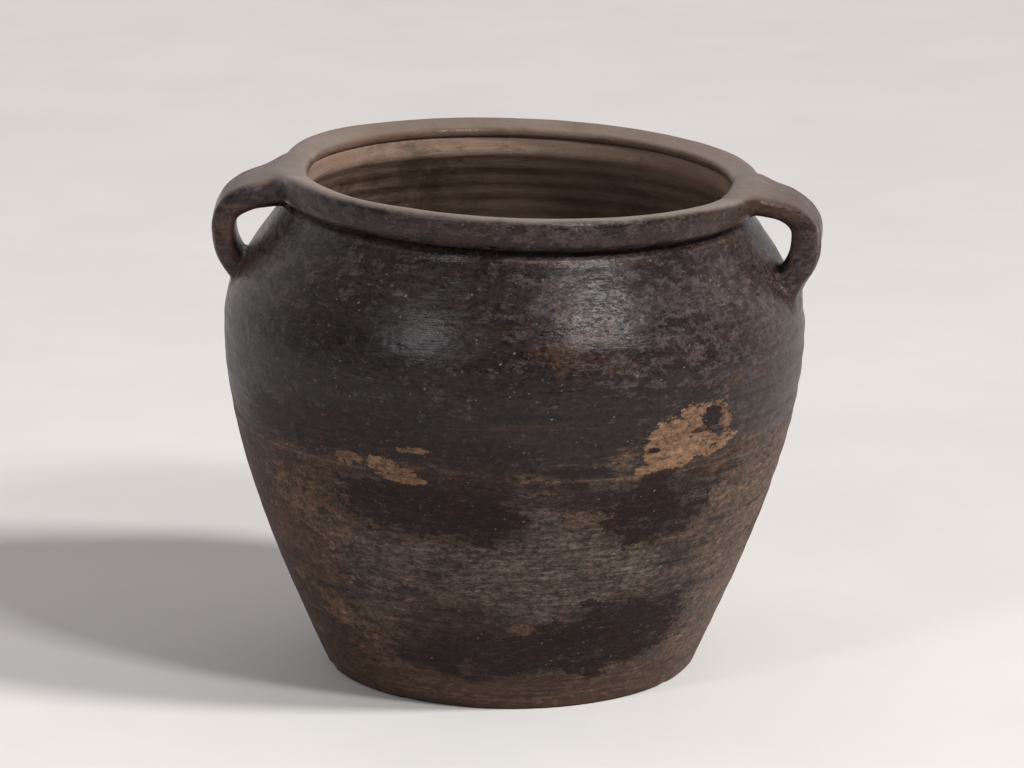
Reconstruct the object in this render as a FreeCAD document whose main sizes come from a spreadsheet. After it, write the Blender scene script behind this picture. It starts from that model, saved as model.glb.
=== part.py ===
import FreeCAD, Part
import os

import Sketcher

# A hand-thrown, wide-mouthed clay pot with two strap handles.
# Frame: the origin is the centre of the flat underside, +Z is up, the handles lie along X
# and the right handle is turned a little towards -Y.  Millimetres and degrees.

DRIVING_DIMENSIONS = {
    # Outside of the wall: foot, belly and neck, with the slopes at foot and neck.
    "foot_radius": 96.0,
    "foot_flare": 0.44,
    "heel_bevel": 2.0,
    "belly_radius": 150.0,
    "belly_level": 182.0,
    "neck_radius": 118.0,
    "neck_level": 244.0,
    "neck_slope": -0.75,
    # The pot leans: its axis bends towards +X by lean * level * level.
    "lean": 0.00007,
    # Clay thicknesses.
    "floor_thickness": 9.0,
    "wall_thickness": 7.0,
    "cove_depth": 2.0,
    # Rolled rim, with its heights measured from the neck plane.
    "throat_radius": 109.5,
    "throat_foot": 10.5,
    "throat_top": 14.3,
    "throat_round": 2.0,
    "rim_radius": 125.4,
    "rim_height": 18.4,
    "rim_top_round": 3.8,
    "rim_foot_round": 3.4,
    "crease_gap": 1.2,
    # Strap handles: root in the rim, outermost bend, and end in the shoulder.
    "strap_width": 36.0,
    "strap_flare": 50.0,
    "strap_thickness": 11.8,
    "strap_root_thickness": 11.0,
    "strap_reach": 157.0,
    "strap_bend_level": 231.0,
    "strap_root_radius": 118.0,
    "strap_root_level": 252.5,
    "strap_root_step": 2.5,
    "strap_end_radius": 126.0,
    "strap_end_level": 203.0,
    "right_turn": -9.0,
    # Smeared clay pads over the straps' lower ends.
    "pad_radius": 143.6,
    "pad_radius_step": 1.9,
    "pad_level": 200.5,
    "pad_slant": -12.0,
    "pad_half_depth": 8.0,
    "pad_half_width": 25.0,
    "pad_half_height": 17.5,
}

NODES = (
    "floor_slab",
    "lower_wall",
    "upper_wall",
    "rim_collar",
    "left_handle",
    "right_handle",
    "left_handle_pad",
    "right_handle_pad",
)

WALL_STEPS = 9
SHOULDER_STEPS = 3
CUTTER_SIDE = 400.0
OVERRUN = 20.0

LEAN_SHIFT = "dims.lean * ({level})^2"
LEAN_ANGLE = "atan(2 * dims.lean * ({level}))"

doc = FreeCAD.newDocument("clay_pot")
sheet = doc.addObject("Spreadsheet::Sheet", "dims")


def fill_sheet():
    """Write each driving dimension beside its name, with an alias."""
    for row, (name, value) in enumerate(DRIVING_DIMENSIONS.items(), start=1):
        sheet.set(f"A{row}", name)
        sheet.set(f"B{row}", str(value))
        sheet.setAlias(f"B{row}", name)
    doc.recompute()


def new_sketch(body, name, role):
    """Add a sketch that lies on one of the body's own origin planes, such as XY_Plane."""
    planes = {feature.Role: feature for feature in body.Origin.OriginFeatures}
    sketch = body.newObject("Sketcher::SketchObject", name)
    sketch.AttachmentSupport = [(planes[role], "")]
    sketch.MapMode = "FlatFace"
    return sketch


def bind_length(sketch, kind, geometry, point, expression):
    """Constrain a point's distance from the sketch's origin to an expression."""
    start = abs(sheet.evalExpression(expression))
    index = sketch.addConstraint(Sketcher.Constraint(kind, -1, 1, geometry, point, start))
    sketch.setExpression(f"Constraints[{index}]", expression)


def bound_loft(body, sketches):
    """Join a body's sketches with one smooth additive loft."""
    feature = body.newObject("PartDesign::AdditiveLoft", f"{body.Name}_loft")
    feature.Profile = sketches[0]
    feature.Sections = sketches[1:]
    feature.Ruled = False


def boolean(kind, name, base, tool):
    """Add a Part::Common or Part::Cut of two objects."""
    result = doc.addObject(kind, name)
    result.Base = base
    result.Tool = tool
    result.Label = name
    return result


def curve_between(share, start, start_slope, end, end_slope, span):
    """Write a smooth cubic from start to end, with the given slopes at its ends."""
    keep = 2 * share**3 - 3 * share**2 + 1
    leave = share**3 - 2 * share**2 + share
    arrive = share**3 - share**2
    return (
        f"{keep:.5f} * ({start}) + {1 - keep:.5f} * ({end})"
        f" + ({span}) * ({leave:.5f} * ({start_slope}) + {arrive:.5f} * ({end_slope}))"
    )


def ring_sketch(body, level, foot_level, radius):
    """Add a circle on the leaning axis, level at the foot and square to the axis above."""
    sketch = new_sketch(body, f"{body.Name}_ring", "XY_Plane")
    tipped = FreeCAD.Rotation(FreeCAD.Vector(0, 1, 0), 1)
    sketch.AttachmentOffset = FreeCAD.Placement(FreeCAD.Vector(0, 0, 1), tipped)
    sketch.setExpression("AttachmentOffset.Base.x", LEAN_SHIFT.format(level=level))
    sketch.setExpression("AttachmentOffset.Base.z", level)
    height = f"{level} - {foot_level}"
    sketch.setExpression("AttachmentOffset.Rotation.Angle", LEAN_ANGLE.format(level=height))
    start = sheet.evalExpression(radius)
    centre, normal = FreeCAD.Vector(0, 0, 0), FreeCAD.Vector(0, 0, 1)
    circle = sketch.addGeometry(Part.Circle(centre, normal, start))
    sketch.addConstraint(Sketcher.Constraint("Coincident", circle, 3, -1, 1))
    index = sketch.addConstraint(Sketcher.Constraint("Radius", circle, start))
    sketch.setExpression(f"Constraints[{index}]", radius)
    return sketch


def pot_envelope(name, foot_level, foot_radius, inset, overrun):
    """Build a solid of rings from its foot to the neck plane, and past it by overrun."""
    body = doc.addObject("PartDesign::Body", name)
    belly = f"(dims.belly_radius - {inset})"
    neck = f"(dims.neck_radius - {inset})"
    wall_rise = f"(dims.belly_level - {foot_level})"
    shoulder_rise = "(dims.neck_level - dims.belly_level)"
    sketches = []
    for step in range(WALL_STEPS + 1):
        share = step / WALL_STEPS
        level = f"{foot_level} + {share:.5f} * {wall_rise}"
        radius = curve_between(share, foot_radius, "dims.foot_flare", belly, "0", wall_rise)
        sketches.append(ring_sketch(body, level, foot_level, radius))
    for step in range(1, SHOULDER_STEPS + 1):
        share = step / SHOULDER_STEPS
        level = f"dims.belly_level + {share:.5f} * {shoulder_rise}"
        radius = curve_between(share, belly, "0", neck, "dims.neck_slope", shoulder_rise)
        sketches.append(ring_sketch(body, level, foot_level, radius))
    if overrun:
        level = f"dims.neck_level + {overrun}"
        radius = f"{neck} + {overrun} * dims.neck_slope"
        sketches.append(ring_sketch(body, level, foot_level, radius))
    bound_loft(body, sketches)
    return body


def round_edges(body, name, wanted, expression):
    """Fillet the edges of a body's shape for which wanted(edge) is true."""
    doc.recompute()
    unrounded = body.Tip
    picked = [f"Edge{n}" for n, edge in enumerate(body.Shape.Edges, start=1) if wanted(edge)]
    fillet = body.newObject("PartDesign::Fillet", name)
    fillet.Base = (unrounded, picked)
    fillet.Radius = 1
    fillet.setExpression("Radius", expression)


def band_box(name, bottom, top):
    """Add a wide box between two levels, to divide the wall with."""
    box = doc.addObject("Part::Box", name)
    box.Length = CUTTER_SIDE
    box.Width = CUTTER_SIDE
    box.setExpression("Height", f"({top}) - ({bottom})")
    box.Placement.Base = FreeCAD.Vector(-CUTTER_SIDE / 2, -CUTTER_SIDE / 2, 0)
    box.setExpression("Placement.Base.z", bottom)
    return box


def bevelled_outside():
    """Build the solid outside of the pot, with a bevel round its foot."""
    unbevelled = pot_envelope("unbevelled_outside", "0", "dims.foot_radius", "0", 0)
    cone = doc.addObject("Part::Cone", "heel_cone")
    cone.Height = CUTTER_SIDE
    cone.setExpression("Radius1", "dims.foot_radius - dims.heel_bevel")
    cone.setExpression("Radius2", f"dims.foot_radius - dims.heel_bevel + {CUTTER_SIDE}")
    return boolean("Part::Common", "outside", unbevelled, cone)


def build_wall():
    """Build the floor slab and the two stages of the wall, and return the solid outside."""
    outside = bevelled_outside()
    inner_foot = (
        "(dims.foot_radius + dims.foot_flare * dims.floor_thickness"
        " - dims.wall_thickness - dims.cove_depth)"
    )
    inside = pot_envelope("inside", "dims.floor_thickness", inner_foot, "dims.wall_thickness", OVERRUN)
    shell = boolean("Part::Cut", "shell", outside, inside)
    bands = (
        ("floor_slab", "-1", "dims.floor_thickness"),
        ("lower_wall", "dims.floor_thickness", "dims.belly_level"),
        ("upper_wall", "dims.belly_level", f"dims.neck_level + {OVERRUN}"),
    )
    for name, bottom, top in bands:
        boolean("Part::Common", name, shell, band_box(f"{name}_band", bottom, top))
    return outside


def draw_outline(sketch, corners):
    """Draw a closed outline whose corners stand at the given pairs of expressions."""
    places = []
    for across, up in corners:
        places.append(FreeCAD.Vector(sheet.evalExpression(across), sheet.evalExpression(up), 0))
    count = len(corners)
    lines = []
    for index in range(count):
        segment = Part.LineSegment(places[index], places[(index + 1) % count])
        lines.append(sketch.addGeometry(segment))
    for index in range(count):
        following = lines[(index + 1) % count]
        sketch.addConstraint(Sketcher.Constraint("Coincident", lines[index], 2, following, 1))
    for line, (across, up) in zip(lines, corners):
        bind_length(sketch, "DistanceX", line, 1, across)
        if up == "0":
            sketch.addConstraint(Sketcher.Constraint("PointOnObject", line, 1, -1))
        else:
            bind_length(sketch, "DistanceY", line, 1, up)


def build_rim():
    """Revolve the rolled rim and set it on the tipped neck plane."""
    body = doc.addObject("PartDesign::Body", "rim_collar")
    body.Label = "rim_collar"
    sketch = new_sketch(body, "rim_section", "XZ_Plane")
    wall_inner = "dims.neck_radius - dims.wall_thickness"
    corners = (
        (wall_inner, "0"),
        ("dims.neck_radius", "0"),
        ("dims.rim_radius", "dims.crease_gap"),
        ("dims.rim_radius", "dims.rim_height"),
        ("dims.throat_radius", "dims.throat_top"),
        ("dims.throat_radius", "dims.throat_foot"),
        (wall_inner, "dims.throat_foot - 1.5"),
    )
    draw_outline(sketch, corners)
    revolution = body.newObject("PartDesign::Revolution", "rim_ring")
    revolution.Profile = sketch
    revolution.ReferenceAxis = (sketch, ["V_Axis"])
    revolution.Angle = 360
    value = sheet.evalExpression
    rounds = (
        ("rim_top", "dims.rim_radius", "dims.rim_height", "dims.rim_top_round"),
        ("rim_foot", "dims.rim_radius", "dims.crease_gap", "dims.rim_foot_round"),
        ("throat", "dims.throat_radius", "dims.throat_top", "dims.throat_round"),
    )
    for name, radius, height, rounding in rounds:
        def at_corner(edge, radius=value(radius), height=value(height)):
            box = edge.BoundBox
            return abs(box.ZMin - height) < 0.01 and abs(box.XMax - radius) < 0.01 and box.ZLength < 0.01

        round_edges(body, name, at_corner, rounding)
    body.Placement = FreeCAD.Placement(
        FreeCAD.Vector(0, 0, 1), FreeCAD.Rotation(FreeCAD.Vector(0, 1, 0), 1)
    )
    body.setExpression("Placement.Base.x", LEAN_SHIFT.format(level="dims.neck_level"))
    body.setExpression("Placement.Base.z", "dims.neck_level")
    body.setExpression("Placement.Rotation.Angle", LEAN_ANGLE.format(level="dims.neck_level"))
    return body


def oval_sketch(body, reach, level, dip, width, thickness):
    """Add a strap section: an ellipse at a reach and level, facing down by the dip angle."""
    sketch = new_sketch(body, f"{body.Name}_oval", "YZ_Plane")
    tipped = FreeCAD.Rotation(FreeCAD.Vector(1, 0, 0), 1)
    sketch.AttachmentOffset = FreeCAD.Placement(FreeCAD.Vector(0, 1, 1), tipped)
    sketch.setExpression("AttachmentOffset.Base.y", level)
    sketch.setExpression("AttachmentOffset.Base.z", reach)
    sketch.setExpression("AttachmentOffset.Rotation.Angle", dip)
    half_width = sheet.evalExpression(width) / 2
    half_thickness = sheet.evalExpression(thickness) / 2
    ellipse = sketch.addGeometry(
        Part.Ellipse(
            FreeCAD.Vector(half_width, 0, 0),
            FreeCAD.Vector(0, half_thickness, 0),
            FreeCAD.Vector(0, 0, 0),
        )
    )
    sketch.exposeInternalGeometry(ellipse)
    major, minor = ellipse + 1, ellipse + 2
    sketch.addConstraint(Sketcher.Constraint("Coincident", ellipse, 3, -1, 1))
    sketch.addConstraint(Sketcher.Constraint("Horizontal", major))
    for axis, length in ((major, width), (minor, thickness)):
        start = sheet.evalExpression(length)
        index = sketch.addConstraint(Sketcher.Constraint("Distance", axis, start))
        sketch.setExpression(f"Constraints[{index}]", length)
    return sketch


def strap_body(name, root_level):
    """Loft a strap from the rim, over its bend and down into the shoulder, along +X."""
    body = doc.addObject("PartDesign::Body", name)
    bend_reach = "(dims.strap_reach - dims.strap_thickness / 2)"
    root_span = f"({bend_reach} - dims.strap_root_radius)"
    root_rise = f"({root_level} - dims.strap_bend_level)"
    end_span = f"({bend_reach} - dims.strap_end_radius)"
    end_drop = "(dims.strap_bend_level - dims.strap_end_level)"
    sketches = []
    for turn, flare in ((0, 1.0), (25, 0.35), (50, 0.0), (75, 0.0)):
        sine, cosine = f"sin({turn} deg)", f"cos({turn} deg)"
        reach = f"dims.strap_root_radius + {root_span} * {sine}"
        level = f"dims.strap_bend_level + {root_rise} * {cosine}"
        dip = f"atan2({root_rise} * {sine}; {root_span} * {cosine})"
        width = f"dims.strap_width + {flare} * (dims.strap_flare - dims.strap_width)"
        thickness = (
            f"dims.strap_thickness + {flare} * (dims.strap_root_thickness - dims.strap_thickness)"
        )
        sketches.append(oval_sketch(body, reach, level, dip, width, thickness))
    for turn in (10, 40, 70):
        sine, cosine = f"sin({turn} deg)", f"cos({turn} deg)"
        reach = f"dims.strap_end_radius + {end_span} * {cosine}"
        level = f"dims.strap_bend_level - {end_drop} * {sine}"
        dip = f"atan2({end_drop} * {cosine}; 0 - {end_span} * {sine})"
        sketches.append(oval_sketch(body, reach, level, dip, "dims.strap_width", "dims.strap_thickness"))
    bound_loft(body, sketches)
    return body


def pad_body(name, radius):
    """Make the flattened ball of clay that is smeared over a strap's lower end, along +X."""
    body = doc.addObject("PartDesign::Body", name)
    ball = body.newObject("PartDesign::AdditiveEllipsoid", f"{name}_ball")
    planes = {feature.Role: feature for feature in body.Origin.OriginFeatures}
    ball.AttachmentSupport = [(planes["XY_Plane"], "")]
    ball.MapMode = "FlatFace"
    tipped = FreeCAD.Rotation(FreeCAD.Vector(0, 1, 0), 1)
    ball.AttachmentOffset = FreeCAD.Placement(FreeCAD.Vector(1, 0, 1), tipped)
    ball.setExpression("AttachmentOffset.Base.x", radius)
    ball.setExpression("AttachmentOffset.Base.z", "dims.pad_level")
    ball.setExpression("AttachmentOffset.Rotation.Angle", "dims.pad_slant")
    ball.setExpression("Radius1", "dims.pad_half_height")
    ball.setExpression("Radius2", "dims.pad_half_depth")
    ball.setExpression("Radius3", "dims.pad_half_width")
    return body


def face_outwards(body, turn):
    """Turn a body made along +X about the pot's axis at the handles' level."""
    body.Placement = FreeCAD.Placement(
        FreeCAD.Vector(1, 0, 0), FreeCAD.Rotation(FreeCAD.Vector(0, 0, 1), 1)
    )
    body.setExpression("Placement.Base.x", LEAN_SHIFT.format(level="dims.strap_bend_level"))
    body.setExpression("Placement.Rotation.Angle", turn)


def build_handle(side, turn, rise, outside, rim):
    """Build one strap handle and the clay pad at its lower end.

    The lean lifts the rim and swells the shoulder on the left, and the reverse on the right:
    rise is 1 on the lifted side and -1 on the other.
    """
    root_level = f"(dims.strap_root_level + {rise} * dims.strap_root_step)"
    strap = strap_body(f"{side}_strap", root_level)
    ball = pad_body(f"{side}_pad_ball", f"dims.pad_radius + {rise} * dims.pad_radius_step")
    for body in (strap, ball):
        face_outwards(body, turn)
    pad = boolean("Part::Cut", f"{side}_handle_pad", ball, outside)
    clear_of_wall = boolean("Part::Cut", f"{side}_strap_off_wall", strap, outside)
    clear_of_rim = boolean("Part::Cut", f"{side}_strap_off_rim", clear_of_wall, rim)
    boolean("Part::Cut", f"{side}_handle", clear_of_rim, pad)


def build_pot():
    """Build every sub-part of the pot."""
    fill_sheet()
    outside = build_wall()
    rim = build_rim()
    for side, turn, rise in (("left", "180", 1), ("right", "dims.right_turn", -1)):
        build_handle(side, turn, rise, outside, rim)
    doc.recompute()


def check_document():
    """Stop if any object failed or any sub-part's shape is not one valid solid."""
    for item in doc.Objects:
        if {"Invalid", "Error"} & set(item.State):
            raise RuntimeError(f"{item.Label} failed: {item.State}")
    for name in NODES:
        shape = doc.getObjectsByLabel(name)[0].Shape
        if shape.isNull() or not shape.isValid() or len(shape.Solids) != 1:
            raise RuntimeError(f"{name} is not one valid solid")


def write_parts():
    """Write each sub-part to its own STEP file."""
    os.makedirs("parts", exist_ok=True)
    for name in NODES:
        shape = doc.getObjectsByLabel(name)[0].Shape
        shape.exportStep(f"parts/{name}.step")
        print(f"{name}: {shape.Volume:.0f} cubic millimetres, box {shape.BoundBox}")


build_pot()
check_document()
write_parts()
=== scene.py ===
"""The looks of the two-handled black clay pot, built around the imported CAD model.

The pot stands on z = 0 with its mouth up. Its front faces -Y and its handles lie along X. Its axis bends a
little: the centre of the ring at height h lies at x = LEAN h^2, and the ring tilts to stay square to it.
A place on the surface is given by its angle from the front, positive towards +X, and its height h.
"""

import math

import bpy
import numpy as np
import openvdb
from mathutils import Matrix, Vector

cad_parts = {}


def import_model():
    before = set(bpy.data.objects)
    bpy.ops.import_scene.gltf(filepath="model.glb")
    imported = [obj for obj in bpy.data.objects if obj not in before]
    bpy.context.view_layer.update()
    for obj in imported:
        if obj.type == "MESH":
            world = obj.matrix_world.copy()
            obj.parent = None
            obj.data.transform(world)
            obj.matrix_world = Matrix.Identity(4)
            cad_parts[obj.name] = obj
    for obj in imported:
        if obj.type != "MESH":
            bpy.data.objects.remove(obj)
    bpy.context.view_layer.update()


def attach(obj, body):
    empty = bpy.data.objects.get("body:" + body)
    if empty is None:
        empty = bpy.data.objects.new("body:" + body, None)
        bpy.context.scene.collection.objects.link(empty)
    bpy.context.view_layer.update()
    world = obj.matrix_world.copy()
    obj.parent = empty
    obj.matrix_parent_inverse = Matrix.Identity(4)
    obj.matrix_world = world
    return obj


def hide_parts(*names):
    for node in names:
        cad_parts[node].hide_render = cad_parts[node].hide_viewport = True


# Every noise adds a number of its own to this seed.
SEED = 11
NOISE_TABLE_SIZE = 4096
HASH_FACTORS = (73856093, 19349663, 83492791)
BEND_ROUNDS = 4

# The pot's outline, in metres, as the CAD model has it.
LEAN = 0.07
FOOT_RADIUS = 0.096
FOOT_FLARE = 0.44
BELLY_RADIUS = 0.150
BELLY_LEVEL = 0.182
NECK_RADIUS = 0.118
NECK_LEVEL = 0.244
NECK_SLOPE = -0.75
WALL_THICKNESS = 0.007
FLOOR_LEVEL = 0.009


def lattice_noise(points, seed):
    """Smooth noise between -1 and 1 at each point of an (n, 3) array, one cell to a unit."""
    table = np.random.default_rng(seed).uniform(-1.0, 1.0, NOISE_TABLE_SIZE)
    cell = np.floor(points).astype(np.int64)
    part = points - cell
    part = part * part * (3.0 - 2.0 * part)
    total = np.zeros(len(points))
    for corner in np.ndindex(2, 2, 2):
        hashed = (cell + corner) * HASH_FACTORS
        key = hashed[:, 0] ^ hashed[:, 1] ^ hashed[:, 2]
        weight = np.prod(np.where(np.array(corner) == 1, part, 1.0 - part), axis=1)
        total += weight * table[key & (NOISE_TABLE_SIZE - 1)]
    return total


def bumps(points, height, size, seed):
    """Even noise with bumps of a height and a size."""
    return height * lattice_noise(points / size, SEED + seed)


def turned_noise(points, height, cells, seed):
    """Noise drawn out round the pot, with its number of cells to a metre along each axis."""
    return height * lattice_noise(points * cells, SEED + seed)


def smooth_step(low, high, value):
    """0 below low, 1 above high and smooth between them."""
    share = np.clip((value - low) / (high - low), 0.0, 1.0)
    return share * share * (3.0 - 2.0 * share)


def bump_at(value, centre, width):
    """A smooth hump of height 1 round a centre."""
    return np.exp(-(((value - centre) / width) ** 2))


def hermite(start, start_slope, end, end_slope, start_level, end_level, level):
    """A cubic between two levels with the given values and slopes."""
    span = end_level - start_level
    t = (level - start_level) / span
    return (
        start * (2 * t**3 - 3 * t**2 + 1)
        + start_slope * span * (t**3 - 2 * t**2 + t)
        + end * (3 * t**2 - 2 * t**3)
        + end_slope * span * (t**3 - t**2)
    )


def columns(*values):
    """Arrays of numbers as the columns of one table."""
    return np.stack(values, axis=1)


def outer_radius(level, inset=0.0):
    """The radius of the wall's outside at a level, or of a surface inside it."""
    level = np.asarray(level, float)
    foot, belly, neck = FOOT_RADIUS - inset, BELLY_RADIUS - inset, NECK_RADIUS - inset
    lower = hermite(foot, FOOT_FLARE, belly, 0.0, 0.0, BELLY_LEVEL, level)
    upper = hermite(belly, 0.0, neck, NECK_SLOPE, BELLY_LEVEL, NECK_LEVEL, level)
    return np.where(level < BELLY_LEVEL, lower, upper)


def ring_to_space(radius, angle, level):
    """Points of the bent pot from their distance to its axis, angle from the front and level."""
    tilt = 2.0 * LEAN * level
    along_x = radius * np.sin(angle)
    x = along_x * np.cos(tilt) + LEAN * level**2
    return columns(x, -radius * np.cos(angle), level - along_x * np.sin(tilt))


def space_to_ring(points):
    """The distance to the bent axis, angle from the front and level of each point."""
    level = points[:, 2].copy()
    for _ in range(BEND_ROUNDS):
        tilt = 2.0 * LEAN * level
        along_x = (points[:, 0] - LEAN * level**2) / np.cos(tilt)
        level = points[:, 2] + along_x * np.sin(tilt)
    return np.hypot(along_x, points[:, 1]), np.arctan2(along_x, -points[:, 1]), level


# ---------------------------------------------------------------- outlines and relief

RIM_SECTION = [
    (0.1116, 0.2528), (0.1100, 0.2541), (0.1095, 0.2557), (0.1098, 0.2573), (0.1110, 0.2586),
    (0.1135, 0.2595), (0.1172, 0.2607), (0.1205, 0.2617), (0.1228, 0.2616), (0.1245, 0.2604),
    (0.1254, 0.2585), (0.1256, 0.2555), (0.1255, 0.2522), (0.1251, 0.2495), (0.1240, 0.2472),
    (0.1218, 0.2456), (0.1192, 0.2449), (0.1170, 0.2440), (0.1148, 0.2450), (0.1136, 0.2488),
]
HANDLE_ANGLES = {"left": -math.pi / 2, "right": math.radians(81.0)}
CURVE_STEPS = 24
RIM_SAGS = {"left": 0.0070, "right": 0.0040}
SAG_WIDTHS = {"left": math.radians(15.0), "right": math.radians(20.0)}


def closed_curve(points, count):
    """A smooth closed curve through points, as count places an even distance apart."""
    ends = np.array(points, float)
    share = np.linspace(0.0, 1.0, CURVE_STEPS, endpoint=False)[:, None]
    runs = []
    for index in range(len(ends)):
        before, start, end, after = (ends[(index + shift) % len(ends)] for shift in (-1, 0, 1, 2))
        runs.append(
            0.5
            * (
                2.0 * start
                + (end - before) * share
                + (2.0 * before - 5.0 * start + 4.0 * end - after) * share**2
                + (3.0 * (start - end) + after - before) * share**3
            )
        )
    line = np.vstack(runs + [runs[0][:1]])
    length = np.concatenate([[0.0], np.cumsum(np.linalg.norm(np.diff(line, axis=0), axis=1))])
    at = np.linspace(0.0, length[-1], count, endpoint=False)
    return columns(*(np.interp(at, length, line[:, axis]) for axis in (0, 1)))


def angle_between(angle, centre):
    """How far an angle is from another one, the short way round."""
    return np.abs((angle - centre + math.pi) % (2.0 * math.pi) - math.pi)


def rim_sag(angle, radius, level):
    """How far the rim's top dips where a handle runs out of it."""
    dip = sum(
        RIM_SAGS[side] * bump_at(angle_between(angle, centre), 0.0, SAG_WIDTHS[side])
        for side, centre in HANDLE_ANGLES.items()
    )
    outward = 0.25 + 0.75 * smooth_step(0.110, 0.123, radius)
    return dip * outward * smooth_step(0.247, 0.260, level)


# Lines round the neck: level, height and half width.
NECK_LINES = ((0.2405, 0.00032, 0.0009), (0.2372, -0.00020, 0.0010))

# Throwing grooves: level and share of the full depth.
GROOVES = ((0.168, 0.9), (0.1535, 1.0), (0.1365, 0.8), (0.1015, 0.5), (0.0325, 0.6))
GROOVE_DEPTH = 0.00022
GROOVE_HALF_WIDTH = 0.0009

# The potter's hands leave a rising wave outside and finger ridges inside.
HAND_HEIGHT = 0.00011
HAND_PITCH = 0.0125
HAND_RISE = 0.012
FINGER_HEIGHT = 0.00038
FINGER_PITCH = 0.009


def outside_relief(points, angle, level):
    """How far the hand-made outside stands off its outline: slow wobble, throwing ridges and grooves."""
    wobble = bumps(points, height=0.00030, size=0.055, seed=0)
    wobble += bumps(points, height=0.00014, size=0.018, seed=1)
    ridges = turned_noise(points, height=0.00006, cells=(8.0, 8.0, 190.0), seed=2)
    ridges += turned_noise(points, height=0.00003, cells=(20.0, 20.0, 420.0), seed=3)
    swell = turned_noise(points, height=1.0, cells=(12.0, 12.0, 3.0), seed=4)
    drifted = level + turned_noise(points, height=0.0012, cells=(14.0, 14.0, 0.0), seed=5)
    lines = sum(height * bump_at(drifted, middle, half_width) for middle, height, half_width in NECK_LINES)
    for middle, share in GROOVES:
        lines -= GROOVE_DEPTH * share * bump_at(drifted, middle, GROOVE_HALF_WIDTH) * (0.6 + 0.4 * swell)
    risen = level + HAND_RISE * angle / math.pi
    hands = HAND_HEIGHT * np.sin(risen * 2.0 * math.pi / HAND_PITCH) * (0.7 + swell)
    fade = smooth_step(0.0, 0.006, level)
    return wobble + (ridges + lines + hands) * fade


def inside_relief(points, angle, level):
    """The finger ridges and wobble of the inside."""
    turns = (level + FINGER_PITCH * angle / (2.0 * math.pi)) / FINGER_PITCH
    uneven = 1.0 + bumps(points, height=0.5, size=0.05, seed=6)
    ridges = FINGER_HEIGHT * np.sin(2.0 * math.pi * turns) * uneven
    fine = turned_noise(points, height=0.00010, cells=(10.0, 10.0, 230.0), seed=7)
    fade = smooth_step(0.012, 0.03, level) * (1.0 - smooth_step(0.244, 0.250, level))
    return (ridges + fine) * fade + bumps(points, height=0.0003, size=0.05, seed=8)


def rim_relief(points):
    """The wobble and fine ridges of the rim."""
    wobble = bumps(points, height=0.00035, size=0.045, seed=9)
    wobble += bumps(points, height=0.00012, size=0.012, seed=10)
    return wobble + turned_noise(points, height=0.00006, cells=(12.0, 12.0, 380.0), seed=11)


# ---------------------------------------------------------------- meshes


def make_object(name, vertices, quads, fans=()):
    """A smooth-shaded mesh object of quads, and of triangles if given, whose faces look outwards."""
    mesh = bpy.data.meshes.new(name)
    corners = np.asarray(quads, np.int64)
    first, second, third = (vertices[corners[:, index]] for index in range(3))
    if np.einsum("ij,ij->", first, np.cross(second, third)) < 0.0:
        corners = corners[:, ::-1]
        fans = [fan[::-1] for fan in fans]
    mesh.from_pydata(vertices.tolist(), [], corners.tolist() + list(fans))
    mesh.polygons.foreach_set("use_smooth", np.ones(len(mesh.polygons), bool))
    mesh.update()
    piece = bpy.data.objects.new(name, mesh)
    bpy.context.scene.collection.objects.link(piece)
    return piece


def ring_faces(rings, segments, closed):
    """The quads between neighbouring rings of points, and from the last ring to the first if closed."""
    row, column = np.meshgrid(np.arange(rings if closed else rings - 1), np.arange(segments), indexing="ij")
    row, column = row.ravel(), column.ravel()
    beside, above = (column + 1) % segments, (row + 1) % rings
    corners = ((row, column), (row, beside), (above, beside), (above, column))
    return columns(*(ring * segments + place for ring, place in corners))


def grid_of(profile, segments):
    """The radius, angle and level of every point of an outline taken round the pot."""
    angle = np.linspace(-math.pi, math.pi, segments, endpoint=False)
    radius, around = np.meshgrid(profile[:, 0], angle, indexing="ij")
    level, _ = np.meshgrid(profile[:, 1], angle, indexing="ij")
    return radius.ravel(), around.ravel(), level.ravel()


WALL_SEGMENTS = 576
OUTSIDE_RINGS = 214
INSIDE_RINGS = 96
OUTSIDE_SPAN = (0.0014, 0.2445)
INSIDE_SPAN = (0.2520, 0.0175)
FOOT_CORNER = [(0.0880, 0.0004), (0.0905, 0.0000), (0.0930, 0.0000), (0.0945, 0.0001), (0.0956, 0.0006)]
NECK_END = [(0.1176, 0.2462), (0.1165, 0.2490), (0.1146, 0.2524), (0.1126, 0.2538), (0.1114, 0.2534)]
NECK_END_OUTSIDE = 2
INNER_CORNER = [(0.0906, 0.0150), (0.0890, 0.0118), (0.0865, 0.0098), (0.0840, 0.0088), (0.0835, 0.0050)]


HEEL_LEVEL = 0.001
HEEL_HALF_WIDTH = 0.004
HEEL_CHIP_DEPTH = 0.0008
FOOT_LIFT = 0.0005


def wall_profile():
    """The wall's closed outline, and how many of its points lie on the outside."""
    outside_levels = np.linspace(*OUTSIDE_SPAN, OUTSIDE_RINGS)
    outside = columns(outer_radius(outside_levels), outside_levels)
    inside_levels = np.linspace(*INSIDE_SPAN, INSIDE_RINGS)
    inner = np.where(
        inside_levels > NECK_LEVEL, NECK_RADIUS - WALL_THICKNESS, outer_radius(inside_levels, WALL_THICKNESS)
    )
    profile = np.vstack([FOOT_CORNER, outside, NECK_END, columns(inner, inside_levels), INNER_CORNER])
    return profile, len(FOOT_CORNER) + OUTSIDE_RINGS + NECK_END_OUTSIDE


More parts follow.
